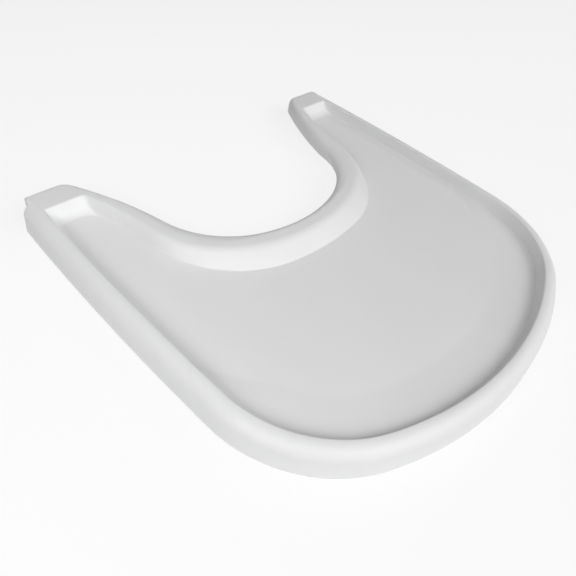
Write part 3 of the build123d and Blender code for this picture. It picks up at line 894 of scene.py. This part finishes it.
class TRAY_OT_pads(bpy.types.Operator):
    """Build the rubber pads: the rail strip, the arm pads and the blocks in the arm ends"""

    bl_idname = "tray.pads"
    bl_label = "Pads"

    def execute(self, context):
        rubber = finish_of(context, "pad")
        sizes = context.scene.tray_sizes
        self.rail_strip(sizes, rubber)
        under = sizes.crest - sizes.well_depth - sizes.wall
        roof = sizes.crest - sizes.wall
        for name, side in (("right", 1), ("left", -1)):
            size, corner, (x, y) = ARM_PAD
            turn = Matrix.Rotation(math.radians(-ARM_PAD_TURN * side), 4, "Z")
            place = Matrix.Translation((side * x, y, under)) @ turn
            self.block(name + "_arm_pad", size, corner, place, "Y", rubber)
            size, corner, (x, y) = TIP_PAD
            place = Matrix.Translation((side * x, y, roof))
            self.block(name + "_tip_pad", size, corner, place, "X", rubber)
        return {"FINISHED"}

    def block(self, name, size, corner, place, along, rubber):
        """Grooved block that hangs from z 0 of its place, with its grooves across the named axis."""
        bm = bmesh.new()
        x, y, z = size
        verts = box_into(bm, (-x / 2, -y / 2, -z), (x / 2, y / 2, 0))
        upright = [e for e in edges_of(verts) if abs(e.verts[0].co.z - e.verts[1].co.z) > z / 2]
        round_edges(bm, upright, corner, 6)
        lower = [e for e in bm.edges if max(v.co.z for v in e.verts) < -z * 0.9]
        round_edges(bm, lower, 0.8 * MM, 3)
        normal = Vector((1, 0, 0)) if along == "X" else Vector((0, 1, 0))
        span = x if along == "X" else y
        count = 5 if along == "X" else 7
        inner = [span * (i / (count - 1) - 0.5) * 0.62 for i in range(count)]
        for middle in inner:
            for edge in (-0.6 * MM, 0.6 * MM):
                cut_across(bm, normal * (middle + edge), normal)
        grooves = []
        for face in bm.faces:
            spot = face.calc_center_median()
            if face.normal.z < -0.99 and any(abs(spot.dot(normal) - m) < 0.5 * MM for m in inner):
                grooves.append(face)
        bmesh.ops.inset_individual(
            bm, faces=grooves, thickness=0.25 * MM, depth=-0.5 * MM, use_even_offset=True)
        bmesh.ops.transform(bm, matrix=place, verts=bm.verts[:])
        turn_out(bm)
        finish_piece(bm, name + "_rubber", "tray", rubber, 40.0, (name,))

    def rail_strip(self, sizes, rubber):
        """Ribbed strip under the lip's roof, along the bay line."""
        roof = sizes.crest - sizes.wall
        section = [(8.5, 0.0), (8.5, 0.7), (8.8, 1.0), (9.9, 1.0), (10.2, 0.6), (10.8, 0.6), (11.1, 1.0)]
        section += [(11.9, 1.0), (12.2, 0.6), (12.8, 0.6), (13.1, 1.0), (14.2, 1.0), (14.5, 0.7), (14.5, 0.0)]
        section.append(section[0])
        bm = bmesh.new()
        rings = []
        for inset, down in section:
            centre, corner, flare, radii, first, second = bay_arcs(1.0, inset * MM)
            points = [on_circle(centre, radii[0], -90)]
            points += along_arc(centre, radii[0], -90, first - 90, 12)
            stop = -math.degrees(math.acos((STRIP_END_X - corner.x) / radii[1]))
            points += along_arc(corner, radii[1], first - 90, stop, 12)
            points[0].x = 0.0
            rings.append([Vector((p.x, p.y, roof - down * MM)) for p in points])
        skin_rings(bm, rings)
        bmesh.ops.remove_doubles(bm, verts=bm.verts[:], dist=3e-6)
        close_mirror(bm)
        bmesh.ops.holes_fill(bm, edges=[e for e in bm.edges if e.is_boundary], sides=0)
        turn_out(bm)
        finish_piece(bm, "rail_strip", "tray", rubber, 40.0, ("rail_pad",))


class TRAY_OT_grip(bpy.types.Operator):
    """Build the ribbed soft grip on the pull tab"""

    bl_idname = "tray.grip"
    bl_label = "Pull Grip"

    def execute(self, context):
        low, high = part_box("yoke_grip")
        bm = bmesh.new()
        rib = 0.6 * MM
        verts = box_into(bm, low, (high.x, high.y - rib, high.z))
        corners = [e for e in edges_of(verts) if abs(e.verts[0].co.y - e.verts[1].co.y) > MM]
        round_edges(bm, corners, 1.5 * MM, 5)
        count = 13
        inner_low, inner_high = low.x + 2.5 * MM, high.x - 2.5 * MM
        pitch = (inner_high - inner_low) / count
        for i in range(count):
            for share in (0.2, 0.8):
                cut_across(bm, Vector((inner_low + (i + share) * pitch, 0, 0)), Vector((1, 0, 0)))
        front = []
        for face in bm.faces:
            spot = face.calc_center_median()
            place = (spot.x - inner_low) / pitch
            if face.normal.y > 0.9 and 0 < place < count and abs(place % 1 - 0.5) < 0.2:
                front.append(face)
        bmesh.ops.inset_individual(bm, faces=front, thickness=0.3 * MM, depth=0.0)
        bmesh.ops.inset_individual(bm, faces=front, thickness=0.35 * MM, depth=rib)
        raised = [e for e in bm.edges if min(v.co.y for v in e.verts) > low.y + MM]
        round_edges(bm, [e for e in raised if e.calc_face_angle(0.0) > 0.6], 0.18 * MM, 2)
        turn_out(bm)
        finish_piece(bm, "pull_grip", "pull", finish_of(context, "grip"), 40.0, ("yoke_grip",))
        return {"FINISHED"}


class TRAY_OT_springs(bpy.types.Operator):
    """Wind the two return springs of the bolts"""

    bl_idname = "tray.springs"
    bl_label = "Bolt Springs"

    def execute(self, context):
        sizes = context.scene.tray_sizes
        wire = finish_of(context, "wire")
        for name, side in (("right", 1), ("left", -1)):
            self.wind(name, side, sizes, wire)
        return {"FINISHED"}

    def wind(self, name, side, sizes, wire):
        """Closed end turns at both ends and open turns between, spun from the wire's section."""
        length = SPRING_SPACE - 2 * SPRING_CLEAR
        end_pitch = 0.78 * MM
        open_turns = 7
        open_pitch = (length - 2 * end_pitch) / open_turns
        steps = 28
        bm = bmesh.new()
        start = Matrix.Translation((BOLT_LENGTH + SPRING_CLEAR, sizes.spring_mean / 2, 0.0))
        turned = start @ Matrix.Rotation(math.radians(1.5), 4, "Y")
        verts = bmesh.ops.create_circle(bm, segments=10, radius=sizes.spring_wire / 2, matrix=turned)["verts"]
        last = verts + edges_of(verts)
        for turns, pitch in ((1, end_pitch), (open_turns, open_pitch), (1, end_pitch)):
            last = bmesh.ops.spin(
                bm, geom=last, cent=(0, 0, 0), axis=(1, 0, 0), dvec=(pitch / steps, 0, 0),
                angle=math.tau * turns, steps=steps * turns)["geom_last"]
        bmesh.ops.holes_fill(bm, edges=[e for e in bm.edges if e.is_boundary], sides=0)
        bmesh.ops.transform(bm, matrix=bolt_matrix(side), verts=bm.verts[:])
        turn_out(bm)
        piece = finish_piece(
            bm, name + "_spring_coil", "tray", wire, 60.0, (name + "_bolt_spring",))
        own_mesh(piece)


class TRAY_OT_latch(bpy.types.Operator):
    """Finish the rigid latch pieces: base, yoke, bolts, pins, rods and screws"""

    bl_idname = "tray.latch"
    bl_label = "Latch Finishes"

    def execute(self, context):
        finishes = {"latch_base": "base", "release_yoke": "slide", "base_screws": "steel"}
        for side in ("left_", "right_"):
            finishes[side + "bolt"] = "slide"
            finishes[side + "drive_pin"] = "steel"
            finishes[side + "spring_rod"] = "steel"
        for node, kind in finishes.items():
            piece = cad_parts[node]
            for slot in piece.material_slots:
                slot.material = finish_of(context, kind)
        return {"FINISHED"}


class TRAY_OT_stage(bpy.types.Operator):
    """Set the floor, the soft lights and the camera"""

    bl_idname = "tray.stage"
    bl_label = "Stage"

    def execute(self, context):
        stage = context.scene.tray_stage
        context.scene.view_settings.view_transform = "Standard"
        self.floor(stage)
        self.world(context.scene, stage)
        for name, azimuth, elevation, distance, size in LAMPS:
            self.lamp(name, azimuth, elevation, distance, size, getattr(stage, name))
        self.camera(context.scene, stage)
        return {"FINISHED"}

    def floor(self, stage):
        bm = bmesh.new()
        bmesh.ops.create_circle(
            bm, cap_ends=True, radius=4.0, segments=64, matrix=Matrix.Translation((0, 0, -0.3 * MM)))
        for face in bm.faces:
            if face.normal.z < 0:
                face.normal_flip()
        mesh = bpy.data.meshes.new("floor")
        bm.to_mesh(mesh)
        bm.free()
        floor = bpy.data.objects.new("floor", mesh)
        bpy.context.scene.collection.objects.link(floor)
        mesh.materials.append(self.floor_material(stage))

    def floor_material(self, stage):
        """Pale floor, near white to the camera, that takes the shadow and is clear from below."""
        material = bpy.data.materials.new("Pale Floor")
        material.use_nodes = True
        tree = material.node_tree
        tree.nodes.clear()
        out = add_node(tree, "ShaderNodeOutputMaterial", 700, 0)
        paper = add_node(tree, "ShaderNodeBsdfDiffuse", -300, 100)
        paper.inputs["Color"].default_value = (*stage.floor, 1.0)
        glow = add_node(tree, "ShaderNodeEmission", -300, -50, Strength=1.0)
        clear = add_node(tree, "ShaderNodeBsdfTransparent", -300, -150)
        side = add_node(tree, "ShaderNodeNewGeometry", -900, -400)
        path, shown = self.seen(tree)
        share = math_node(tree, "MULTIPLY", -300, 250, shown, FLOOR_GLOW)
        lit = self.mixed(tree, 50, share, paper, glow)
        through = math_node(
            tree, "MAXIMUM", -300, -300, side.outputs["Backfacing"], path.outputs["Is Shadow Ray"])
        final = self.mixed(tree, 350, through, lit, clear)
        tree.links.new(final.outputs[0], out.inputs[0])
        return material

    def seen(self, tree):
        """Light Path node, and a value that is 1 on camera, glossy and transmission rays."""
        path = add_node(tree, "ShaderNodeLightPath", -900, 0)
        shown = path.outputs["Is Camera Ray"]
        for i, ray in enumerate(("Is Glossy Ray", "Is Transmission Ray")):
            shown = math_node(tree, "MAXIMUM", -650 + 170 * i, 200, shown, path.outputs[ray])
        return path, shown

    def mixed(self, tree, x, share, one, two):
        mix = add_node(tree, "ShaderNodeMixShader", x, 0)
        for i, socket in enumerate((share, one.outputs[0], two.outputs[0])):
            tree.links.new(socket, mix.inputs[i])
        return mix

    def world(self, scene, stage):
        """White to the camera and in reflections, and a moderate even light otherwise."""
        world = bpy.data.worlds.new("Studio")
        scene.world = world
        world.use_nodes = True
        tree = world.node_tree
        tree.nodes.clear()
        out = add_node(tree, "ShaderNodeOutputWorld", 400, 0)
        shown = self.seen(tree)[1]
        even = add_node(tree, "ShaderNodeBackground", -50, 0, Strength=stage.ambient)
        white = add_node(tree, "ShaderNodeBackground", -50, -150, Strength=1.0)
        for node in (even, white):
            node.inputs["Color"].default_value = (1.0, 1.0, 1.0, 1.0)
        mix = self.mixed(tree, 200, shown, even, white)
        tree.links.new(mix.outputs[0], out.inputs[0])

    def lamp(self, name, azimuth, elevation, distance, size, power):
        """Area lamp that looks at the tray; azimuth 0 is the front, and elevation is above the floor."""
        a, e = math.radians(azimuth), math.radians(elevation)
        place = Vector((math.sin(a) * math.cos(e), -math.cos(a) * math.cos(e), math.sin(e))) * distance
        light = bpy.data.lights.new(name, "AREA")
        light.shape = "RECTANGLE"
        light.size, light.size_y = size
        light.energy = power
        lamp = bpy.data.objects.new(name, light)
        lamp.location = place
        lamp.rotation_euler = (-place).to_track_quat("-Z", "Y").to_euler()
        bpy.context.scene.collection.objects.link(lamp)

    def camera(self, scene, stage):
        a, e, lean = stage.azimuth, stage.elevation, stage.roll
        back = Vector((math.sin(a) * math.cos(e), -math.cos(a) * math.cos(e), math.sin(e)))
        right = Vector((math.cos(a), math.sin(a), 0.0))
        up = back.cross(right)
        place = right * AIM_RIGHT + up * AIM_UP + back * stage.distance + Vector((0.0, AIM_Y, 0.0))
        across = right * math.cos(lean) + up * math.sin(lean)
        above = up * math.cos(lean) - right * math.sin(lean)
        data = bpy.data.cameras.new("camera")
        data.sensor_width = 36.0
        data.lens = stage.lens
        data.clip_start = 0.01
        camera = bpy.data.objects.new("camera", data)
        scene.collection.objects.link(camera)
        turn = Matrix((across, above, back)).transposed().to_4x4()
        camera.matrix_world = Matrix.Translation(place) @ turn
        scene.camera = camera


class TRAY_PT_panel(bpy.types.Panel):
    """Sizes, colours and pieces of the tray"""

    bl_idname = "TRAY_PT_panel"
    bl_label = "High Chair Tray"
    bl_space_type = "VIEW_3D"
    bl_region_type = "UI"
    bl_category = "Tray"

    def draw(self, context):
        scene = context.scene
        for group in (scene.tray_sizes, scene.tray_colours, scene.tray_stage):
            box = self.layout.box()
            for name in group.__annotations__:
                box.prop(group, name)
        for operator in OPERATORS:
            self.layout.operator(operator.bl_idname)


GROUPS = {"tray_sizes": TraySizes, "tray_colours": TrayColours, "tray_stage": TrayStage}
OPERATORS = (
    TRAY_OT_moulding, TRAY_OT_ribs, TRAY_OT_pads, TRAY_OT_grip, TRAY_OT_springs, TRAY_OT_latch, TRAY_OT_stage)


def register():
    for name, group in GROUPS.items():
        bpy.utils.register_class(group)
        setattr(bpy.types.Scene, name, PointerProperty(type=group))
    for item in (*OPERATORS, TRAY_PT_panel):
        bpy.utils.register_class(item)


def unregister():
    for item in (TRAY_PT_panel, *OPERATORS):
        bpy.utils.unregister_class(item)
    for name, group in GROUPS.items():
        delattr(bpy.types.Scene, name)
        bpy.utils.unregister_class(group)


def main():
    register()
    bpy.ops.tray.moulding()
    bpy.ops.tray.ribs()
    bpy.ops.tray.pads()
    bpy.ops.tray.grip()
    bpy.ops.tray.springs()
    bpy.ops.tray.latch()
    bpy.ops.tray.stage()


if __name__ == "__main__":
    main()
